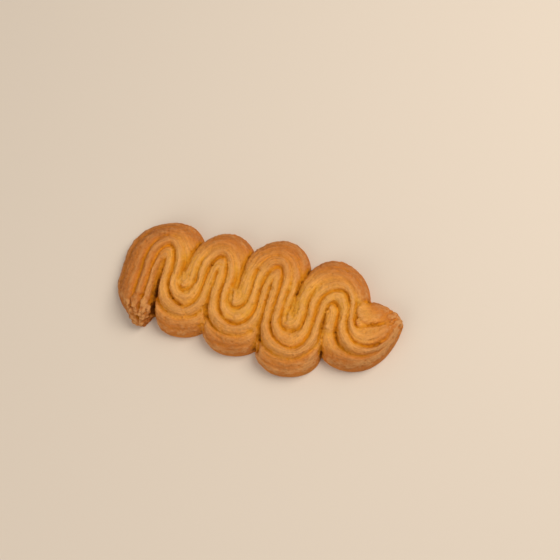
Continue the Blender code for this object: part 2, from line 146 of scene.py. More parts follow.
# The broken start of the rope: where it begins, how far its edges lie back from that and how its height
# rises
START_Y = -20.2
START_LEFT_BACK = 4.6
START_RIGHT_BACK = 2.4
START_HEIGHT_SHARE = 0.35
START_SLOPE = 4.6
START_SLOPE_POWER = 0.7
# Depth of its ragged edge, and the noise cells that this goes through over half the rope's width
START_RAGGED = 1.3
START_TEETH = 7.0
# Share by which the start is drawn in towards the first leg's middle, left and right of it
START_TAPER = 0.30
START_TAPER_RIGHT = 0.55
# Where a leg after the last loop would lie, which the tail's own curve takes the place of
TAIL_X = 46.0
# The tail's curve: a handle counted from the last loop's top, a corner and the torn tip, how far each is
# shifted for the rope's right edge and for its left edge, and the powers with which the left shifts grow
# in x and in y
TAIL_HANDLE = (6.0, 0.0)
TAIL_HANDLE_RIGHT = (6.0, 0.0)
TAIL_HANDLE_LEFT = (-7.5, 6.3)
TAIL_HANDLE_POWERS = (1.0, 2.0)
TAIL_CORNER = (50.5, -1.5)
TAIL_CORNER_RIGHT = (2.3, -4.5)
TAIL_CORNER_LEFT = (-8.5, 14.5)
TAIL_CORNER_POWERS = (1.0, 1.5)
TIP = (52.6, 6.4)
TIP_RIGHT = (0.8, -2.0)
TIP_LEFT = (-2.0, 2.0)
TIP_HEIGHT_SHARE = 0.5
TIP_FALL_POWER = 3

# The rope is carried below the tray level and then cut off flat there
BASE_DEPTH = 2.0
# Middle of the biscuit's own box in the plan above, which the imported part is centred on
PLAN_MIDDLE = (-3.420, 0.333)
PLAN_ORIGIN = np.array([*PLAN_MIDDLE, 0.0])

# Every random field repeats after this many cells, and each has its own seed
NOISE_CELLS = 64
START_SEED = 12
SCORE_PLACE_SEED = 41
SCORE_STRENGTH_SEED = 42
SWAY_SEED = 43
FADE_SEED = 44
DRAG_SEED = 45
FINE_DRAG_SEED = 46
PATCH_SEED = 47
TEAR_SEED = 48
CRUMB_SEED = 60
PIT_SEED = 70
PATCHY_SEED = 81
TORN_SEEDS = (90, 91)

# Fine relief, depths and lengths in millimetres: scores that the ribbed nozzle drags along the rope.
# Their places, widths and sway are shares of the rope's half width
SCORE_COUNT = 17
SCORE_REACH = 0.93
SCORE_DEPTH = 0.36
SCORE_WIDTH = 0.028
LEAST_SCORE = 0.35
SCORE_SWAY = 0.03
SWAY_LENGTH = 16.0
# A score shows at this share of its depth on average, and comes and goes over this length
FADE_LEVEL = 0.5
FADE_LENGTH = 11.0
# Drag marks, drawn over a rope of this half width
DRAG_HALF_WIDTH = 10.0
DRAG_DEPTH = 0.26
DRAG_ACROSS = 1.0
DRAG_ALONG = 7.0
FINE_DRAG_DEPTH = 0.20
FINE_DRAG_ACROSS = 0.45
FINE_DRAG_ALONG = 3.0
# Cracks torn across the ribs, in patches, as the dough was drawn round the loops
TEAR_DEPTH = 0.35
TEAR_SPACING = 1.1
TEAR_ACROSS = 3.5
PATCH_ACROSS = 5.0
PATCH_ALONG = 8.0
PATCH_GAIN = 2.0
# Open crumb of the baked dough, and the pits where the noise passes a level
CRUMB_SIZES = (2.6, 1.1, 0.6)
CRUMB_DEPTHS = (0.15, 0.17, 0.12)
PIT_SIZE = 0.9
PIT_LEVEL = 0.50
PIT_DEPTH = 0.9
# Crumbly break at the two ends: its middles in the plan, how broken it is there, the length over which a
# share of 1 is lost, and the sizes of the lumps
BROKEN_START = (-46.0, -16.5)
BROKEN_START_LEVEL = 1.7
BROKEN_START_LENGTH = 5.0
BROKEN_TIP_INSET = (2.0, 1.0)
BROKEN_TIP_LEVEL = 1.0
BROKEN_TIP_LENGTH = 8.0
BROKEN_END_DEPTH = 0.9
TORN_SIZES = (1.6, 0.8)
TORN_FINE_SHARE = 0.6
# Height over the floor at which the crumb has its full depth, so the flat base stays sharp
CRUMB_FULL_HEIGHT = 1.0

# The streaks that the nozzle leaves: half width of rope they are drawn over, and the plan cells of their
# lookup
STREAK_HALF_WIDTH = 8.0
FLOW_CELL = 0.5
FLOW_MARGIN = 3
LEAST_TURN = 0.002
MOST_CARRIED = 0.06

ROWS_PER_SPAN = 150
COLUMNS = 181
VOXEL = 0.37
SMOOTH_FACTOR = 0.5
SMOOTH_ROUNDS = 2
CUT_TOLERANCE = 1e-7

# Height map that the crust's colours are worked out from: cell and margin, and the rounds of blur behind
# the near mean, the wide mean and the cover, which is the share of the plan around that the biscuit covers
MAP_CELL = 0.5
MAP_MARGIN = 6
NEAR_ROUNDS = 12
WIDE_ROUNDS = 60
COVER_ROUNDS = 260
COVERED_HEIGHT = 0.5
# Where the hollows' amber and painted glow and the crevices' painted shade begin, counted from the outline
# inwards by cover
INSIDE_START = 0.80
INSIDE_SPAN = 0.15
# Millimetres below or above the means at which hollow, crevice and crest begin or are full
SUNKEN_DEPTH = 2.0
SUNKEN_START = 0.1
SUNKEN_SHARE = 0.5
HOLLOW_START = 0.1
CREVICE_START = 1.1
CREVICE_SPAN = 1.1
CREST_HEIGHT = 0.8
# Where the crust browns more: the outer edge by cover, low flanks by height, ends and sides by place
EDGE_START = 0.90
EDGE_SPAN = -0.24
LOW_HEIGHT = 10.0
LEFT_END_START = -35.0
LEFT_END_SPAN = -9.0
RIGHT_END_START = 34.0
RIGHT_END_SPAN = 22.0
NEAR_SIDE_START = -6.0
NEAR_SIDE_SPAN = -8.0
FAR_SIDE_START = 8.0
FAR_SIDE_SPAN = 8.0
PATCHY_SIZE = 9.0
# Browning everywhere, and what each place adds to it, as shares of the darkest crust
LEAST_BROWNING = 0.12
EDGE_BROWNING = 0.38
LOW_BROWNING = 0.08
LEFT_END_BROWNING = 0.64
RIGHT_END_BROWNING = 0.22
FAR_SIDE_BROWNING = 0.34
NEAR_SIDE_BROWNING = 0.15
PROUD_BROWNING = 0.22
PATCHY_BROWNING = 0.08

# Crust colours from the golden inner ribs to the browned rim; the amber of hollows, partly less browned
# dough and partly a painted glow of light bounced in the grooves; the dark brown of crevices, which is
# painted shade; toasted flecks; and the paler tan of crests, partly worn crust and partly a painted highlight
CRUST_COLOURS = ((0.0, "#de9e38"), (0.2, "#e09c4a"), (0.42, "#d0863a"), (0.72, "#c67833"), (1.0, "#b66e32"))
HOLLOW_TINT_AND_BOUNCE_COLOUR = "#d0820c"
HOLLOW_SHARE = 0.9
CREVICE_SHADE_COLOUR = "#743c04"
FLECK_COLOUR = "#a8641e"
FLECK_SHARE = 0.3
FLECK_RANGE = (0.62, 0.72)
CREST_WEAR_AND_HIGHLIGHT_COLOUR = "#e6b070"
CREST_SHARE = 0.45
# Crust patterns, sizes in millimetres: uneven browning about as wide as a rib, speckle and grain of sugar
# and flour, and toasted flecks. Sugar and flour grains are 0.1 to 0.3 mm across, under the 0.4 mm of a pixel,
# so speckle and grain are drawn at 0.6 and 0.9 mm
MOTTLE_SIZE = 2.381
MOTTLE_SWING = 0.30
SPECKLE_SIZE = 0.625
SPECKLE_SWING = 0.40
FLECK_SIZE = 1.613
GRAIN_SIZE = 0.909
GRAIN_DEPTH = 0.6
GRAIN_STRENGTH = 0.9
# Streaks along the ribs, 0.45 mm apart as the nozzle's fine ridges leave them and 6 mm long
STREAK_SPACING = 0.4545
STREAK_LENGTH = 6.25
STREAK_RANGE = (0.3, 0.7)
STREAK_TONES = (0.84, 1.12)
STREAK_DEPTH = 0.5
STREAK_STRENGTH = 0.8
MEAN_NOISE = 0.5
# Dry crumb is dull, with a little more shine where the butter has come to the crust
CRUST_ROUGHNESS = (0.62, 0.82)
CRUST_IOR = 1.45
CRUST_SPECULAR = 0.12

# The photograph's camera: its place over the plan above, its angles in degrees, its focal length and picture
# width in pixels, and its sensor in millimetres
CAMERA_PLACE = (88.1, -57.6, 372.8)
CAMERA_TURN = 19.2
CAMERA_ROLL = 30.0
CAMERA_TILT = 48.0
FOCAL_PIXELS = 1000.0
PICTURE_PIXELS = 560.0
SENSOR_WIDTH = 36.0
CLIP_START = 0.01

# Studio: the paper floor, and each light's direction right, up and back of the camera, its distance and
# size in metres, its power in watts and its colour
FLOOR_HALF_WIDTH = 3.0
PAPER_COLOUR = "#d4c9bc"
PAPER_ROUGHNESS = 0.9
LIGHTS = (
    ("window", (0.40, 0.42, 0.80), 0.7, 0.40, 3.8, "#fff6ea"),
    ("fill", (-0.6, -0.5, 0.6), 0.8, 0.6, 2.0, "#fff3e4"),
)
SKY_COLOUR = "#fffaf3"
SKY_STRENGTH = 0.42


def side_share(across):
    """Left and right share, each from 0 to 1, of a place across from -1 to 1: the place cut off below 0."""
    return np.clip(-across, 0.0, 1.0), np.clip(across, 0.0, 1.0)


def is_far(loop):
    """Far loops come first and then every other one."""
    return loop % 2 == 0


def heading(leg):
    """1 in a leg that runs away from the near side, -1 in one that comes back."""
    return 1.0 if leg % 2 == 0 else -1.0


def rise(value, start, span):
    """0 up to a start, then evenly up to 1 over a span; a negative span rises towards lower values."""
    return np.clip((value - start) / span, 0.0, 1.0)


def loop_point(loop, across):
    """Top of a loop for every rib: the groove's point moved outwards or inwards by the rib's reach."""
    left, right = side_share(across)
    reach = LOOP_REACH[loop]
    before = LEG_X[loop]
    after = LEG_X[loop + 1] if loop + 1 < len(LEG_X) else TAIL_X
    middle = 0.5 * (before + after)
    drift = (LOOP_X[loop] - middle) * (1.0 - np.abs(across)) ** 2
    if is_far(loop):
        outwards = reach * (FAR_EVEN * left + (1.0 - FAR_EVEN) * left ** FAR_REACH_POWER)
        inwards = INNER_REACH[loop] * (INNER_SWELL[loop] * right - (INNER_SWELL[loop] - 1.0) * right ** 2)
        sideways = LOOP_SHIFT[loop] * left ** 2 + PIVOT_SHIFT[loop] * right
        return middle + drift + sideways, LOOP_Y[loop] + outwards - inwards
    outwards = reach * (NEAR_EVEN * right + (1.0 - NEAR_EVEN) * right ** NEAR_REACH_POWER)
    inwards = INNER_REACH[loop] * (INNER_SWELL[loop] * left - (INNER_SWELL[loop] - 1.0) * left ** 2)
    sideways = LOOP_SHIFT[loop] * right ** 2 + PIVOT_SHIFT[loop] * left
    return middle + drift + sideways, LOOP_Y[loop] - outwards + inwards


def bend_length(loop, across):
    """Length of the bend into a loop: long for the outer ribs, short for those near the pivot."""
    left, right = side_share(across)
    if is_far(loop):
        return BEND_LENGTH * ((1.0 + FAR_BEND[loop] * left) * (1.0 - right) ** FAR_BEND_POWER + LEAST_BEND)
    return BEND_LENGTH * ((1.0 + NEAR_BEND[loop] * right) * (1.0 - left) ** NEAR_BEND_POWER + LEAST_BEND)


def leg_x(leg, across):
    """Sideways place of every rib in a leg: half width times share, more where ribs crowd inwards."""
    left, right = side_share(across)
    left_offset = LEFT_HALF[leg] * left * (1.0 + LEFT_CROWD[leg] * (1.0 - left))
    right_offset = RIGHT_HALF[leg] * right * (1.0 + RIGHT_CROWD[leg] * (1.0 - right))
    return LEG_X[leg] + heading(leg) * (right_offset - left_offset)


def span(leg, across, share):
    """The rope between two loop tops: a bend, a straight leg and a bend, each a third of the share.

    A bend is a quarter of an ellipse, by sine and cosine, between the loop's top and the straight leg.
    """
    straight_x = leg_x(leg, across)
    before_x, before_y = loop_point(leg - 1, across)
    after_x, after_y = loop_point(leg, across)
    stage = 3.0 * share
    leave = 0.5 * np.pi * np.clip(stage, 0.0, 1.0)
    along = np.clip(stage - 1.0, 0.0, 1.0)
    arrive = 0.5 * np.pi * np.clip(stage - 2.0, 0.0, 1.0)
    straight_start = before_y + heading(leg) * bend_length(leg - 1, across)
    straight_end = after_y - heading(leg) * bend_length(leg, across)
    x = straight_x + (before_x - straight_x) * (1.0 - np.sin(leave))
    x = x + (after_x - straight_x) * (1.0 - np.cos(arrive))
    y = before_y + (straight_start - before_y) * (1.0 - np.cos(leave))
    y = y + (straight_end - straight_start) * along + (after_y - straight_end) * np.sin(arrive)
    return x, y


def start_edge(across):
    """Where each rib of the broken start begins: back by the square of its place across, and ragged."""
    left, right = side_share(across)
    ragged = START_RAGGED * layer_noise(START_TEETH * across, 0.0, START_SEED)
    return START_Y + START_LEFT_BACK * left ** 2 + START_RIGHT_BACK * right ** 2 + ragged


def start_span(across, share):
    """The first leg, from the broken start to the first loop: a straight half and then a bend.

    Its start is drawn in towards the leg's middle by a share that falls with the square of the way along.
    """
    straight_x = leg_x(0, across)
    after_x, after_y = loop_point(0, across)
    start_y = start_edge(across)
    along = np.clip(2.0 * share, 0.0, 1.0)
    arrive = 0.5 * np.pi * np.clip(2.0 * share - 1.0, 0.0, 1.0)
    narrowing = np.where(across > 0.0, START_TAPER_RIGHT, START_TAPER)
    taper = narrowing * np.clip(1.0 - 2.0 * along, 0.0, 1.0) ** 2
    x = straight_x + (LEG_X[0] - straight_x) * taper + (after_x - straight_x) * (1.0 - np.cos(arrive))
    straight_end = after_y - bend_length(0, across)
    y = start_y + (straight_end - start_y) * along + (after_y - straight_end) * np.sin(arrive)
    return x, y


def tail_span(across, share):
    """The end of the rope: a cubic for every rib from the last loop's top to the torn tip.

    The left edge's shifts grow with a power of the left share, sooner in x than in y.
    """
    left, right = side_share(across)
    rest = 1.0 - share
    weights = (rest ** 3, 3.0 * rest ** 2 * share, 3.0 * rest * share ** 2, share ** 3)
    places = []
    for axis, begin in enumerate(loop_point(len(LOOP_X) - 1, across)):
        handle = begin + TAIL_HANDLE[axis] + TAIL_HANDLE_RIGHT[axis] * right
        handle = handle + TAIL_HANDLE_LEFT[axis] * left ** TAIL_HANDLE_POWERS[axis]
        corner = TAIL_CORNER[axis] + TAIL_CORNER_RIGHT[axis] * right
        corner = corner + TAIL_CORNER_LEFT[axis] * left ** TAIL_CORNER_POWERS[axis]
        tip = TIP[axis] + TIP_RIGHT[axis] * right + TIP_LEFT[axis] * left
        places.append(weights[0] * begin + weights[1] * handle + weights[2] * corner + weights[3] * tip)
    return places


def smooth_noise(points, seed):
    """Random field from -1 to 1: values at a cell's eight corners, blended by smoothstep on each axis."""
    table = np.random.default_rng(seed).uniform(-1.0, 1.0, (NOISE_CELLS, NOISE_CELLS, NOISE_CELLS))
    cell = np.floor(points).astype(int)
    part = points - cell
    part = part * part * (3.0 - 2.0 * part)
    total = np.zeros(points.shape[:-1])
    for corner in np.ndindex(2, 2, 2):
        place = (cell + corner) % NOISE_CELLS
        weight = np.prod(np.where(np.array(corner) == 1, part, 1.0 - part), axis=-1)
        total += weight * table[place[..., 0], place[..., 1], place[..., 2]]
    return total


def layer_noise(first, second, seed):
    """Smooth noise in one layer of its random field, over a grid of two coordinates counted in cells."""
    return smooth_noise(np.stack(np.broadcast_arrays(first, second, 0.0), axis=-1), seed)


def rib_grooves(across, far_loop, near_loop, rim_share, groove_shift, wedge):
    """Depth of the grooves between ribs: from a rib's middle it grows with a power of the way to a groove.

    The grooves on the outside of a loop are weaker there. The second one from the left is shifted by a share
    of the rope's half width.
    """
    left_share = 1.0 - FAR_GROOVE_LOSS * far_loop
    right_share = 1.0 - NEAR_GROOVE_LOSS * near_loop + WEDGE_GAIN * wedge
    shares = (rim_share, left_share, 1.0, right_share)
    places = (-1.0, GROOVE_PLACES[0], GROOVE_PLACES[1] + groove_shift, *GROOVE_PLACES[2:], 1.0)
    depths = [0.0] + [depth * share for depth, share in zip(GROOVE_DEPTHS, shares)] + [0.0]
    total = np.zeros(np.broadcast(across, far_loop).shape)
    for rib in range(len(places) - 1):
        middle = 0.5 * (places[rib] + places[rib + 1])
        half = 0.5 * (places[rib + 1] - places[rib])
        way = (across - middle) / half
        inside = (way >= -1.0) & (way < 1.0)
        drop = depths[rib] * np.clip(-way, 0.0, 1.0) ** RIB_POWER
        drop = drop + depths[rib + 1] * np.clip(way, 0.0, 1.0) ** RIB_POWER
        total = total + inside * drop
    return total


def rope_height(across, returning, outer, far_loop, near_loop, right_power, far_fill):
    """Height of the rope over the tray before it is ribbed: a crown 1 - across squared to a power.

    Inside a loop the square is scaled down, so the rope stays full up to the pivot. Outer is 1 where the
    left side is the biscuit's own broad flank.
    """
    left, right = side_share(across)
    left_power = CROWN_POWER + (RETURN_CROWN_POWER - CROWN_POWER) * returning
    left_power = left_power + (FAR_CROWN_POWER - CROWN_POWER) * outer
    power = np.where(across > 0.0, right_power, left_power)
    fall = left ** 2 * (1.0 - NEAR_FILL * near_loop) + right ** 2 * (1.0 - far_fill * far_loop)
    return CROWN_HEIGHT * np.clip(1.0 - fall, 0.0, 1.0) ** (0.5 * power)


def seam_depth(x, y):
    """Depth of the seams pressed into the dough: a seam's own depth times exp(-distance / width)."""
    deepest = np.zeros(x.shape)
    for seam in SEAMS:
        for begin, end in zip(seam[:-1], seam[1:]):
            way_x = end[0] - begin[0]
            way_y = end[1] - begin[1]
            share = ((x - begin[0]) * way_x + (y - begin[1]) * way_y) / (way_x ** 2 + way_y ** 2)
            share = np.clip(share, 0.0, 1.0)
            distance = np.hypot(x - begin[0] - share * way_x, y - begin[1] - share * way_y)
            depth = begin[2] + (end[2] - begin[2]) * share
            deepest = np.maximum(deepest, depth * np.exp(-distance / SEAM_WIDTH))
    return deepest


def dragged_relief(across, along):
    """Lengthwise scores and drag marks, as heights over the smooth rope.

    A score is exp(-(distance / width) squared) at a random place across, which sways and comes and goes.
    Drag marks are noise drawn out along the rope, and tears are noise across it, kept in patches.
    """
    places = np.random.default_rng(SCORE_PLACE_SEED).uniform(-SCORE_REACH, SCORE_REACH, SCORE_COUNT)
    strengths = np.random.default_rng(SCORE_STRENGTH_SEED).uniform(LEAST_SCORE, 1.0, SCORE_COUNT)
    relief = np.zeros(np.broadcast(across, along).shape)
    for number in range(SCORE_COUNT):
        sway = SCORE_SWAY * layer_noise(along / SWAY_LENGTH, number, SWAY_SEED)
        fade = np.clip(FADE_LEVEL + layer_noise(along / FADE_LENGTH, number, FADE_SEED), 0.0, 1.0)
        score = np.exp(-((across - places[number] - sway) / SCORE_WIDTH) ** 2)
        relief = relief - SCORE_DEPTH * strengths[number] * fade * score
    wide = DRAG_HALF_WIDTH * across
    dragged = layer_noise(wide / DRAG_ACROSS, along / DRAG_ALONG, DRAG_SEED)
    fine_dragged = layer_noise(wide / FINE_DRAG_ACROSS, along / FINE_DRAG_ALONG, FINE_DRAG_SEED)
    relief = relief + DRAG_DEPTH * dragged + FINE_DRAG_DEPTH * fine_dragged
    patchy = layer_noise(wide / PATCH_ACROSS, along / PATCH_ALONG, PATCH_SEED)
    patches = np.clip(PATCH_GAIN * patchy, 0.0, 1.0)
    tears = np.clip(layer_noise(wide / TEAR_ACROSS, along / TEAR_SPACING, TEAR_SEED), 0.0, 1.0)
    return relief - TEAR_DEPTH * patches * tears


def hump(share):
    """0 at both ends of a share and 1 halfway: four times the share times what is left of it."""
    return 4.0 * share * (1.0 - share)


def rope_surface():
    """Grid of points over the whole rope and each point's place across, rows along the piping.

    Columns are the sine of an even angle, so they lie closer at the edges. Height is the crown less the
    grooves and the seams, with the fine relief, and never under the tray level.
    """
    angle = np.linspace(-0.5 * np.pi, 0.5 * np.pi, COLUMNS)
    across = np.sin(angle)[None, :]
    left = np.clip(-across, 0.0, 1.0)
    shoulder = left * (1.0 - left ** SHOULDER_POWER)
    rows = np.linspace(0.0, 1.0, ROWS_PER_SPAN, endpoint=False)[:, None]
    last_leg = len(LEG_X) - 1
    pieces = []
    for leg in range(last_leg + 2):
        away = leg % 2 == 0
        leaving = np.cos(0.5 * np.pi * np.clip(2.0 * rows, 0.0, 1.0)) ** 2
        arriving = np.cos(0.5 * np.pi * np.clip(2.0 - 2.0 * rows, 0.0, 1.0)) ** 2
        in_leg = 1.0 - leaving - arriving
        near_loop = leaving if away else arriving
        far_loop = arriving if away else leaving
        if leg == 0:
            near_loop = 0.0 * rows
            x, y = start_span(across, rows)
            right_power = CROWN_POWER + (RIGHT_LEG_POWER[leg] - CROWN_POWER) * (1.0 - far_loop)
            z = rope_height(across, 0.0 * rows, 1.0, far_loop, near_loop, right_power, FAR_FILL[leg])
            groove_shift = START_GROOVE_SHIFT * (1.0 - far_loop)
            z = z - rib_grooves(across, far_loop, near_loop, START_RIM_SHARE, groove_shift, 0.0)
            slope = np.clip((y - start_edge(across)) / START_SLOPE, 0.0, 1.0) ** START_SLOPE_POWER
            z = z * (START_HEIGHT_SHARE + (1.0 - START_HEIGHT_SHARE) * slope)
        elif leg <= last_leg:
            x, y = span(leg, across, rows)
            returning = OUTGOING_RETURN * in_leg
            if away:
                returning = np.clip(RETURN_GAIN * (1.0 - far_loop), 0.0, 1.0)
            sunk = np.clip((left - SINK_START[leg]) / SINK_LENGTH, 0.0, 1.0)
            sunk = sunk * sunk * (3.0 - 2.0 * sunk)
            right_power = CROWN_POWER + (RIGHT_LEG_POWER[leg] - CROWN_POWER) * in_leg
            far_fill = FAR_FILL[leg] if away else FAR_FILL[leg - 1]
            wedge = 0.0 * rows if away else hump(near_loop)
            groove_shift = (RETURN_GROOVE_SHIFT if away else OUTGOING_GROOVE_SHIFT) * in_leg
            if leg == last_leg:
                groove_shift = groove_shift + TAIL_GROOVE_SHIFT * arriving
            z = rope_height(across, returning, far_loop, far_loop, near_loop, right_power, far_fill)
            z = z - rib_grooves(across, far_loop, near_loop, FAR_RIM_SHARE * far_loop, groove_shift, wedge)
            z = z + (RETURN_LIFT * shoulder if away else -OUTGOING_SINK * sunk) * in_leg
        else:
            far_loop = 0.0 * rows
            x, y = tail_span(across, rows)
            z = rope_height(across, 0.0 * rows, 0.0, far_loop, near_loop, CROWN_POWER, 0.0)
            z = z - rib_grooves(across, far_loop, near_loop, 0.0, TAIL_GROOVE_SHIFT, 0.0)
            z = z * (1.0 - (1.0 - TIP_HEIGHT_SHARE) * rows ** TIP_FALL_POWER)
        pieces.append(np.stack([x, y, z], axis=-1))
    surface = np.concatenate(pieces, axis=0)
    middle = surface[:, COLUMNS // 2, :2]
    along = np.concatenate([[0.0], np.cumsum(np.linalg.norm(np.diff(middle, axis=0), axis=1))])[:, None]
    relief = dragged_relief(across, along) - seam_depth(surface[..., 0], surface[..., 1])
    surface[..., 2] = np.maximum(surface[..., 2] + relief, 0.0)
    return surface, across + 0.0 * along


def place_across(surface, across, points):
    """Place across the rope, from -1 to 1, of the rope surface that lies on top over each of the points.

    Every cell of the plan keeps its highest sample, and from there the place is carried on by its slope.
    """
    along_x, across_x = np.gradient(surface[..., 0])
    along_y, across_y = np.gradient(surface[..., 1])
    turned = across_x * along_y - across_y * along_x
    turned = np.where(np.abs(turned) < LEAST_TURN, LEAST_TURN, turned)
    rate = np.gradient(across, axis=1) / turned
    samples = surface.reshape(-1, 3)
    low = samples[:, :2].min(axis=0) - FLOW_MARGIN * FLOW_CELL
    cells = np.floor((samples[:, :2] - low) / FLOW_CELL).astype(int)
    order = np.argsort(samples[:, 2])
    highest = np.zeros(cells.max(axis=0) + FLOW_MARGIN + 1, dtype=int)
    for shift_x, shift_y in ((-1, 0), (1, 0), (0, -1), (0, 1), (0, 0)):
        highest[cells[order, 0] + shift_x, cells[order, 1] + shift_y] = order
    found = np.floor((points[:, :2] - low) / FLOW_CELL).astype(int)
    found = np.clip(found, 0, np.array(highest.shape) - 1)
    chosen = highest[found[:, 0], found[:, 1]]
    away = points[:, :2] - samples[chosen, :2]
    carried = (rate * along_y).ravel()[chosen] * away[:, 0] - (rate * along_x).ravel()[chosen] * away[:, 1]
    return across.ravel()[chosen] + np.clip(carried, -MOST_CARRIED, MOST_CARRIED)


def pad_surface(x, y, half_width, half_length, height):
    """Rounded pad: height times (1 - u squared) (1 - v to a power) to a power, u across and v along it."""
    angle = np.linspace(-0.5 * np.pi, 0.5 * np.pi, PAD_ROWS)
    u = np.sin(angle)[None, :]
    v = np.sin(angle)[:, None]
    top = height * np.clip((1.0 - u ** 2) * (1.0 - v ** PAD_SQUARENESS), 0.0, 1.0) ** PAD_POWER
    pad_x = x + half_width * u + 0.0 * v
    pad_y = y + half_length * v + 0.0 * u
    return np.stack([pad_x, pad_y, np.maximum(top - seam_depth(pad_x, pad_y), 0.0)], axis=-1)


def closed_rope(surface):
    """Close the grid into a tube with a floor below the tray level and a cap at each end."""
    rows, columns = surface.shape[:2]
    floor = surface[:, ::-1, :].copy()
    floor[..., 2] = -BASE_DEPTH
    ring = np.concatenate([surface, floor], axis=1)
    around = ring.shape[1]
    points = ring.reshape(-1, 3)
    first = np.arange(rows - 1)[:, None] * around
    step = np.arange(around)[None, :]
    after = (step + 1) % around
    quads = np.stack([first + step, first + after, first + around + after, first + around + step], axis=-1)
    top = np.arange(columns - 1)
    below = around - 1 - top
    start_cap = np.stack([top, below, below - 1, top + 1], axis=-1)
    end_cap = start_cap[:, ::-1] + (rows - 1) * around
    return points, np.concatenate([quads.reshape(-1, 4), start_cap, end_cap])


def mesh_points(mesh):
    """All the vertices of a mesh as an array."""
    flat = np.empty(len(mesh.vertices) * 3)
    mesh.vertices.foreach_get("co", flat)
    return flat.reshape(-1, 3)


def mesh_normals(mesh):
    """All the vertex normals of a mesh as an array."""
    flat = np.empty(len(mesh.vertices) * 3)
    mesh.vertex_normals.foreach_get("vector", flat)
    return flat.reshape(-1, 3)


def set_points(mesh, points):
    """Put an array of points back into a mesh."""
    mesh.vertices.foreach_set("co", points.ravel())
    mesh.update()


def apply_modifier(piece, modifier):
    """Make one modifier's result the object's own mesh."""
    bpy.context.view_layer.objects.active = piece
    bpy.ops.object.modifier_apply(modifier=modifier.name)


def new_piece(name, points, faces):
    """Object at the origin from points in metres and faces."""
    mesh = bpy.data.meshes.new(name)
    mesh.from_pydata(points.tolist(), [], faces.tolist())
    piece = bpy.data.objects.new(name, mesh)
    bpy.context.scene.collection.objects.link(piece)
    return piece


def crumb_relief(points):
    """Open crumb: three sizes of smooth noise, less pits where a fourth noise passes its level."""
    relief = np.zeros(len(points))
    for number, (size, depth) in enumerate(zip(CRUMB_SIZES, CRUMB_DEPTHS)):
        relief = relief + depth * smooth_noise(points / (size * MM), CRUMB_SEED + number)
    pits = np.clip(smooth_noise(points / (PIT_SIZE * MM), PIT_SEED) - PIT_LEVEL, 0.0, 1.0)
    return relief - PIT_DEPTH * pits


def broken_share(points):
    """How broken the crust is at the rope's two ends: a level less the distance from each end's middle."""
    plan = points[:, :2] / MM + np.array(PLAN_MIDDLE)
    start = np.linalg.norm(plan - np.array(BROKEN_START), axis=1)
    tip = np.linalg.norm(plan - (np.array(TIP) - np.array(BROKEN_TIP_INSET)), axis=1)
    at_start = np.clip(BROKEN_START_LEVEL - start / BROKEN_START_LENGTH, 0.0, 1.0)
    return at_start + np.clip(BROKEN_TIP_LEVEL - tip / BROKEN_TIP_LENGTH, 0.0, 1.0)


def cut_flat(mesh):
    """Cut the fused rope off at the tray level and close the cut with one flat floor."""
    work = bmesh.new()
    work.from_mesh(mesh)
    everything = list(work.verts) + list(work.edges) + list(work.faces)
    bmesh.ops.bisect_plane(
        work, geom=everything, dist=CUT_TOLERANCE, plane_co=(0.0, 0.0, 0.0), plane_no=(0.0, 0.0, 1.0),
        clear_inner=True
    )
    rim = [edge for edge in work.edges if edge.is_boundary]
    bmesh.ops.holes_fill(work, edges=rim, sides=0)
    bmesh.ops.triangulate(work, faces=list(work.faces))
    bmesh.ops.recalc_face_normals(work, faces=list(work.faces))
    work.to_mesh(mesh)
    work.free()


def height_map(points, cell):
    """Greatest height over every square cell of the plan, as a grid, with the plan's lowest corner."""
    low = points[:, :2].min(axis=0) - MAP_MARGIN * cell
    place = np.floor((points[:, :2] - low) / cell).astype(int)
    size = place.max(axis=0) + MAP_MARGIN + 1
    heights = np.zeros(size)
    np.maximum.at(heights, (place[:, 0], place[:, 1]), points[:, 2])
    return heights, low


def blurred(grid, rounds):
    """Grid averaged with its neighbours, 1 2 1 along each axis, a number of rounds."""
    for _ in range(rounds):
        padded = np.pad(grid, 1, mode="edge")
        grid = 0.25 * (padded[:-2, 1:-1] + 2.0 * padded[1:-1, 1:-1] + padded[2:, 1:-1])
        padded = np.pad(grid, 1, mode="edge")
        grid = 0.25 * (padded[1:-1, :-2] + 2.0 * padded[1:-1, 1:-1] + padded[1:-1, 2:])
    return grid


def sampled(grid, low, cell, points):
    """Values of a grid at points, blended between the four nearest cells."""
    place = (points[:, :2] - low) / cell - 0.5
    base = np.clip(np.floor(place).astype(int), 0, np.array(grid.shape) - 2)
    part = np.clip(place - base, 0.0, 1.0)
    column, row = base[:, 0], base[:, 1]
    across, up = part[:, 0], part[:, 1]
    near = grid[column, row] * (1.0 - across) + grid[column + 1, row] * across
    far = grid[column, row + 1] * (1.0 - across) + grid[column + 1, row + 1] * across
    return near * (1.0 - up) + far * up


def add_values(mesh, name, values):
    """Store one number a vertex on the mesh, for the material."""
    layer = mesh.attributes.new(name, "FLOAT", "POINT")
    layer.data.foreach_set("value", np.asarray(values, dtype=np.float32))


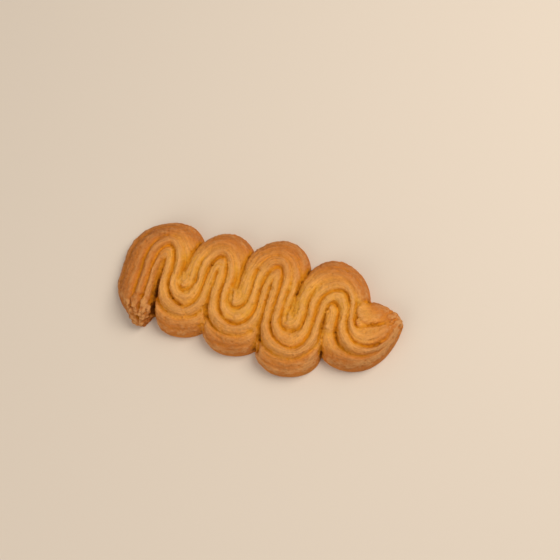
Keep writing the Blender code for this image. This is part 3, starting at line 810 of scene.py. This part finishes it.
def colour_attributes(mesh):
    """Store the numbers from 0 to 1 that the crust's material reads.

    Browning is the sum of the shares above: more at the outer edge, where little of the plan around is
    covered, at the ends and the sides, on low flanks and on ridges that stand proud of the near mean. Hollow
    and crevice grow with the depth under the means, only inside the outline: the hollow's amber is partly
    less browned dough and partly a painted glow of light bounced in the grooves, and the crevice's dark
    brown is painted shade. Crest grows with the height over the near mean, and its paler tan is partly worn
    crust and partly a painted highlight. Broken is the broken share of the two ends.
    """
    points = mesh_points(mesh)
    x, y, height = (points / MM).T
    cell = MAP_CELL * MM
    heights, low = height_map(points, cell)
    covered = (heights > COVERED_HEIGHT * MM).astype(float)
    near_mean = sampled(blurred(heights, NEAR_ROUNDS), low, cell, points) / MM
    wide_mean = sampled(blurred(heights, WIDE_ROUNDS), low, cell, points) / MM
    near_cover = sampled(blurred(covered, NEAR_ROUNDS), low, cell, points)
    wide_cover = sampled(blurred(covered, COVER_ROUNDS), low, cell, points)
    proud = height - near_mean
    sunken = np.clip((wide_mean - height) / SUNKEN_DEPTH - SUNKEN_START, 0.0, 1.0)
    inside = rise(near_cover, INSIDE_START, INSIDE_SPAN)
    edge = rise(wide_cover, EDGE_START, EDGE_SPAN)
    edge = edge * edge * (3.0 - 2.0 * edge)
    browning = LEAST_BROWNING + EDGE_BROWNING * edge + LOW_BROWNING * (1.0 - rise(height, 0.0, LOW_HEIGHT))
    browning = browning + LEFT_END_BROWNING * rise(x, LEFT_END_START, LEFT_END_SPAN)
    browning = browning + RIGHT_END_BROWNING * rise(x, RIGHT_END_START, RIGHT_END_SPAN)
    browning = browning + FAR_SIDE_BROWNING * rise(y, FAR_SIDE_START, FAR_SIDE_SPAN)
    browning = browning + NEAR_SIDE_BROWNING * rise(y, NEAR_SIDE_START, NEAR_SIDE_SPAN)
    browning = browning + PROUD_BROWNING * np.clip(proud, -1.0, 1.0)
    browning = browning + PATCHY_BROWNING * smooth_noise(points / (PATCHY_SIZE * MM), PATCHY_SEED)
    add_values(mesh, "browning", np.clip(browning, 0.0, 1.0))
    add_values(mesh, "hollow", inside * np.clip(-proud - HOLLOW_START + SUNKEN_SHARE * sunken, 0.0, 1.0))
    add_values(mesh, "crevice_shade", inside * rise(-proud, CREVICE_START, CREVICE_SPAN))
    add_values(mesh, "crest", rise(proud, 0.0, CREST_HEIGHT))
    add_values(mesh, "broken", np.clip(broken_share(points), 0.0, 1.0))


def make_biscuit():
    """The whole biscuit as one closed mesh, fused from the rope and the pads, with its crumb."""
    surface, across = rope_surface()
    bodies = [closed_rope(surface)] + [closed_rope(pad_surface(*pad)) for pad in PADS]
    starts = np.cumsum([0] + [len(points) for points, faces in bodies])
    points = np.concatenate([points for points, faces in bodies]) - PLAN_ORIGIN
    faces = np.concatenate([body[1] + start for body, start in zip(bodies, starts)])
    biscuit = new_piece("piped_shortbread", points * MM, faces)
    fuse = biscuit.modifiers.new("fuse", "REMESH")
    fuse.mode = "VOXEL"
    fuse.voxel_size = VOXEL * MM
    apply_modifier(biscuit, fuse)
    soften = biscuit.modifiers.new("soften", "SMOOTH")
    soften.factor = SMOOTH_FACTOR
    soften.iterations = SMOOTH_ROUNDS
    apply_modifier(biscuit, soften)
    mesh = biscuit.data
    grown = mesh_points(mesh)
    above = np.clip(grown[:, 2] / (CRUMB_FULL_HEIGHT * MM), 0.0, 1.0)
    torn = smooth_noise(grown / (TORN_SIZES[0] * MM), TORN_SEEDS[0])
    torn = torn + TORN_FINE_SHARE * smooth_noise(grown / (TORN_SIZES[1] * MM), TORN_SEEDS[1])
    relief = crumb_relief(grown) + BROKEN_END_DEPTH * broken_share(grown) * torn
    grown = grown + mesh_normals(mesh) * (relief * above * MM)[:, None]
    set_points(mesh, grown)
    cut_flat(mesh)
    colour_attributes(mesh)
    in_plan = mesh_points(mesh) / MM + PLAN_ORIGIN
    add_values(mesh, "streak", STREAK_HALF_WIDTH * place_across(surface, across, in_plan))
    mesh.shade_smooth()
    return biscuit


def linear(hex_colour):
    """sRGB hex colour as linear red, green, blue and full alpha."""
    parts = np.array([int(hex_colour[place:place + 2], 16) for place in (1, 3, 5)]) / 255.0
    low = parts / 12.92
    high = ((parts + 0.055) / 1.055) ** 2.4
    return (*np.where(parts <= 0.04045, low, high).tolist(), 1.0)


def add_node(tree, kind, settings=None, values=None, links=None):
    """Add a node, set its properties and socket values, and link its inputs to other nodes' outputs."""
    node = tree.nodes.new(kind)
    for name, value in (settings or {}).items():
        setattr(node, name, value)
    for socket, value in (values or {}).items():
        node.inputs[socket].default_value = value
    for socket, source in (links or {}).items():
        tree.links.new(source, node.inputs[socket])
    return node


def set_stops(ramp, stops):
    """Give a colour ramp its places and hex colours."""
    elements = ramp.color_ramp.elements
    while len(elements) < len(stops):
        elements.new(0.5)
    for element, (place, hex_colour) in zip(elements, stops):
        element.position = place
        element.color = linear(hex_colour)


def baked_shortbread():
    """Butter shortbread, piped and browned in the oven.

    To the eye it is dull open crumb, amber in the hollows, golden on the inner ribs with paler crests, and
    orange tan to brown at the outer edge, with fine streaks along the piping and a few toasted flecks. The
    amber of the hollows is partly less browned dough and partly a painted glow of light bounced in the
    grooves, the deep creases are darkened with painted shade, and the paler crests are partly worn crust and
    partly a painted highlight.
    """
    material = bpy.data.materials.new("baked_shortbread")
    material.use_nodes = True
    tree = material.node_tree
    shader = tree.nodes["Principled BSDF"]
    place = add_node(tree, "ShaderNodeTexCoord").outputs["Object"]
    browning, hollow, crevice_shade, crest, broken, streak = (
        add_node(tree, "ShaderNodeAttribute", {"attribute_name": name}).outputs["Fac"]
        for name in ("browning", "hollow", "crevice_shade", "crest", "broken", "streak")
    )
    mottle = add_node(tree, "ShaderNodeTexNoise", links={"Vector": place},
                      values={"Scale": 1.0 / (MOTTLE_SIZE * MM), "Detail": 5.0, "Roughness": 0.6})
    speckle = add_node(tree, "ShaderNodeTexNoise", links={"Vector": place},
                       values={"Scale": 1.0 / (SPECKLE_SIZE * MM), "Detail": 3.0, "Roughness": 0.65})
    mottled = add_node(tree, "ShaderNodeMath", {"operation": "MULTIPLY_ADD"},
                       {1: MOTTLE_SWING, 2: -MEAN_NOISE * MOTTLE_SWING}, {0: mottle.outputs["Fac"]})
    specked = add_node(tree, "ShaderNodeMath", {"operation": "MULTIPLY_ADD"},
                       {1: SPECKLE_SWING, 2: -MEAN_NOISE * SPECKLE_SWING}, {0: speckle.outputs["Fac"]})
    browned = add_node(tree, "ShaderNodeMath", {"operation": "ADD"},
                       links={0: browning, 1: mottled.outputs[0]})
    total = add_node(tree, "ShaderNodeMath", {"operation": "ADD"},
                     links={0: browned.outputs[0], 1: specked.outputs[0]})
    crust = add_node(tree, "ShaderNodeValToRGB", links={"Fac": total.outputs[0]})
    set_stops(crust, CRUST_COLOURS)
    # Hollows are mixed towards an amber that is partly less browned dough and partly a painted glow of
    # bounced light
    deep = add_node(tree, "ShaderNodeMath", {"operation": "MULTIPLY"}, {1: HOLLOW_SHARE}, {0: hollow})
    amber = add_node(tree, "ShaderNodeMix", {"data_type": "RGBA"}, {"B": linear(HOLLOW_TINT_AND_BOUNCE_COLOUR)},
                     {"Factor": deep.outputs[0], "A": crust.outputs["Color"]})
    # Deep creases are mixed towards a dark brown that is painted shade
    seam = add_node(tree, "ShaderNodeMix", {"data_type": "RGBA"}, {"B": linear(CREVICE_SHADE_COLOUR)},
                    {"Factor": crevice_shade, "A": amber.outputs["Result"]})
    scatter = add_node(tree, "ShaderNodeTexNoise", links={"Vector": place},
                       values={"Scale": 1.0 / (FLECK_SIZE * MM), "Detail": 3.0})
    fleck = add_node(tree, "ShaderNodeMapRange", links={"Value": scatter.outputs["Fac"]},
                     values={"From Min": FLECK_RANGE[0], "From Max": FLECK_RANGE[1], "To Max": FLECK_SHARE})
    toasted = add_node(tree, "ShaderNodeMix", {"data_type": "RGBA"}, {"B": linear(FLECK_COLOUR)},
                       {"Factor": fleck.outputs["Result"], "A": seam.outputs["Result"]})
    # Crests are mixed towards a paler tan that is partly worn crust and partly a painted highlight
    raised = add_node(tree, "ShaderNodeMath", {"operation": "MULTIPLY"}, {1: CREST_SHARE}, {0: crest})
    pale = add_node(tree, "ShaderNodeMix", {"data_type": "RGBA"}, {"B": linear(CREST_WEAR_AND_HIGHLIGHT_COLOUR)},
                    {"Factor": raised.outputs[0], "A": toasted.outputs["Result"]})
    apart = add_node(tree, "ShaderNodeSeparateXYZ", links={"Vector": place})
    fine = add_node(tree, "ShaderNodeMath", {"operation": "MULTIPLY"},
                    {1: 1.0 / STREAK_SPACING}, {0: streak})
    far_x = add_node(tree, "ShaderNodeMath", {"operation": "MULTIPLY"},
                     {1: 1.0 / (STREAK_LENGTH * MM)}, {0: apart.outputs["X"]})
    far_y = add_node(tree, "ShaderNodeMath", {"operation": "MULTIPLY"},
                     {1: 1.0 / (STREAK_LENGTH * MM)}, {0: apart.outputs["Y"]})
    drawn = add_node(tree, "ShaderNodeCombineXYZ",
                     links={"X": fine.outputs[0], "Y": far_x.outputs[0], "Z": far_y.outputs[0]})
    streaks = add_node(tree, "ShaderNodeTexNoise", values={"Scale": 1.0, "Detail": 3.0, "Roughness": 0.6},
                       links={"Vector": drawn.outputs["Vector"]})
    calmed = add_node(tree, "ShaderNodeMix", {"data_type": "FLOAT"}, {"B": MEAN_NOISE},
                      {"Factor": broken, "A": streaks.outputs["Fac"]})
    tone = add_node(tree, "ShaderNodeMapRange", links={"Value": calmed.outputs["Result"]},
                    values={"From Min": STREAK_RANGE[0], "From Max": STREAK_RANGE[1],
                            "To Min": STREAK_TONES[0], "To Max": STREAK_TONES[1]})
    streaked = add_node(tree, "ShaderNodeVectorMath", {"operation": "SCALE"},
                        links={0: pale.outputs["Result"], "Scale": tone.outputs["Result"]})
    tree.links.new(streaked.outputs["Vector"], shader.inputs["Base Color"])
    grain = add_node(tree, "ShaderNodeTexNoise", links={"Vector": place},
                     values={"Scale": 1.0 / (GRAIN_SIZE * MM), "Detail": 5.0, "Roughness": 0.75})
    grained = add_node(tree, "ShaderNodeBump", links={"Height": grain.outputs["Fac"]},
                       values={"Strength": GRAIN_STRENGTH, "Distance": GRAIN_DEPTH * MM})
    scored = add_node(tree, "ShaderNodeBump",
                      values={"Strength": STREAK_STRENGTH, "Distance": STREAK_DEPTH * MM},
                      links={"Height": calmed.outputs["Result"], "Normal": grained.outputs["Normal"]})
    tree.links.new(scored.outputs["Normal"], shader.inputs["Normal"])
    dull = add_node(tree, "ShaderNodeMapRange", links={"Value": mottle.outputs["Fac"]},
                    values={"To Min": CRUST_ROUGHNESS[0], "To Max": CRUST_ROUGHNESS[1]})
    tree.links.new(dull.outputs["Result"], shader.inputs["Roughness"])
    shader.inputs["IOR"].default_value = CRUST_IOR
    shader.inputs["Specular IOR Level"].default_value = CRUST_SPECULAR
    return material


def pale_paper():
    """Uncoated paper backdrop: an even, matt, warm pale grey without a highlight."""
    material = bpy.data.materials.new("pale_paper")
    material.use_nodes = True
    shader = material.node_tree.nodes["Principled BSDF"]
    shader.inputs["Base Color"].default_value = linear(PAPER_COLOUR)
    shader.inputs["Roughness"].default_value = PAPER_ROUGHNESS
    return material


def camera_axes():
    """Right, up and back of the camera over the plan, from its turn, its roll and the camera's tilt."""
    turn, roll, tilt = np.radians([CAMERA_TURN, CAMERA_ROLL, CAMERA_TILT])
    along = np.array([np.cos(turn), -np.sin(turn), 0.0])
    away = np.array([np.sin(turn), np.cos(turn), 0.0])
    raised = np.cos(roll) * away + np.sin(roll) * np.array([0.0, 0.0, 1.0])
    basis = np.stack([along, raised, np.cross(along, raised)])
    right = np.array([1.0, 0.0, 0.0])
    up = np.array([0.0, np.sin(tilt), np.cos(tilt)])
    back = np.array([0.0, -np.cos(tilt), np.sin(tilt)])
    return basis @ right, basis @ up, basis @ back


def place_camera():
    """Camera at the photograph's place and angle."""
    right, up, back = camera_axes()
    place = (np.array(CAMERA_PLACE) - PLAN_ORIGIN) * MM
    lens = bpy.data.cameras.new("camera")
    lens.sensor_width = SENSOR_WIDTH
    lens.lens = FOCAL_PIXELS / PICTURE_PIXELS * SENSOR_WIDTH
    lens.clip_start = CLIP_START
    camera = bpy.data.objects.new("camera", lens)
    bpy.context.scene.collection.objects.link(camera)
    camera.matrix_world = Matrix(
        [[right[axis], up[axis], back[axis], place[axis]] for axis in range(3)] + [[0.0, 0.0, 0.0, 1.0]]
    )
    bpy.context.scene.camera = camera


def area_light(name, direction, distance, size, power, hex_colour):
    """Square soft light that looks at the biscuit from a direction."""
    lamp = bpy.data.lights.new(name, "AREA")
    lamp.size = size
    lamp.energy = power
    lamp.color = linear(hex_colour)[:3]
    light = bpy.data.objects.new(name, lamp)
    bpy.context.scene.collection.objects.link(light)
    unit = Vector(direction).normalized()
    facing = unit.to_track_quat("Z", "Y").to_matrix().to_4x4()
    light.matrix_world = Matrix.Translation(unit * distance) @ facing


def studio():
    """Pale floor, soft daylight from the far right, a weak fill from the near left and a weak even sky."""
    right, up, back = camera_axes()
    corners = np.array([[-1.0, -1.0, 0.0], [1.0, -1.0, 0.0], [1.0, 1.0, 0.0], [-1.0, 1.0, 0.0]])
    floor = new_piece("floor", corners * FLOOR_HALF_WIDTH, np.array([[0, 1, 2, 3]]))
    floor.data.materials.append(pale_paper())
    for name, shares, distance, size, power, hex_colour in LIGHTS:
        direction = right * shares[0] + up * shares[1] + back * shares[2]
        area_light(name, direction, distance, size, power, hex_colour)
    world = bpy.data.worlds.new("sky")
    world.use_nodes = True
    world.node_tree.nodes["Background"].inputs["Color"].default_value = linear(SKY_COLOUR)
    world.node_tree.nodes["Background"].inputs["Strength"].default_value = SKY_STRENGTH
    bpy.context.scene.world = world
    bpy.context.scene.view_settings.view_transform = "Standard"


place_camera()
studio()
biscuit = make_biscuit()
biscuit.data.materials.append(baked_shortbread())
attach(biscuit, "root")
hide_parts("shortbread_biscuit")
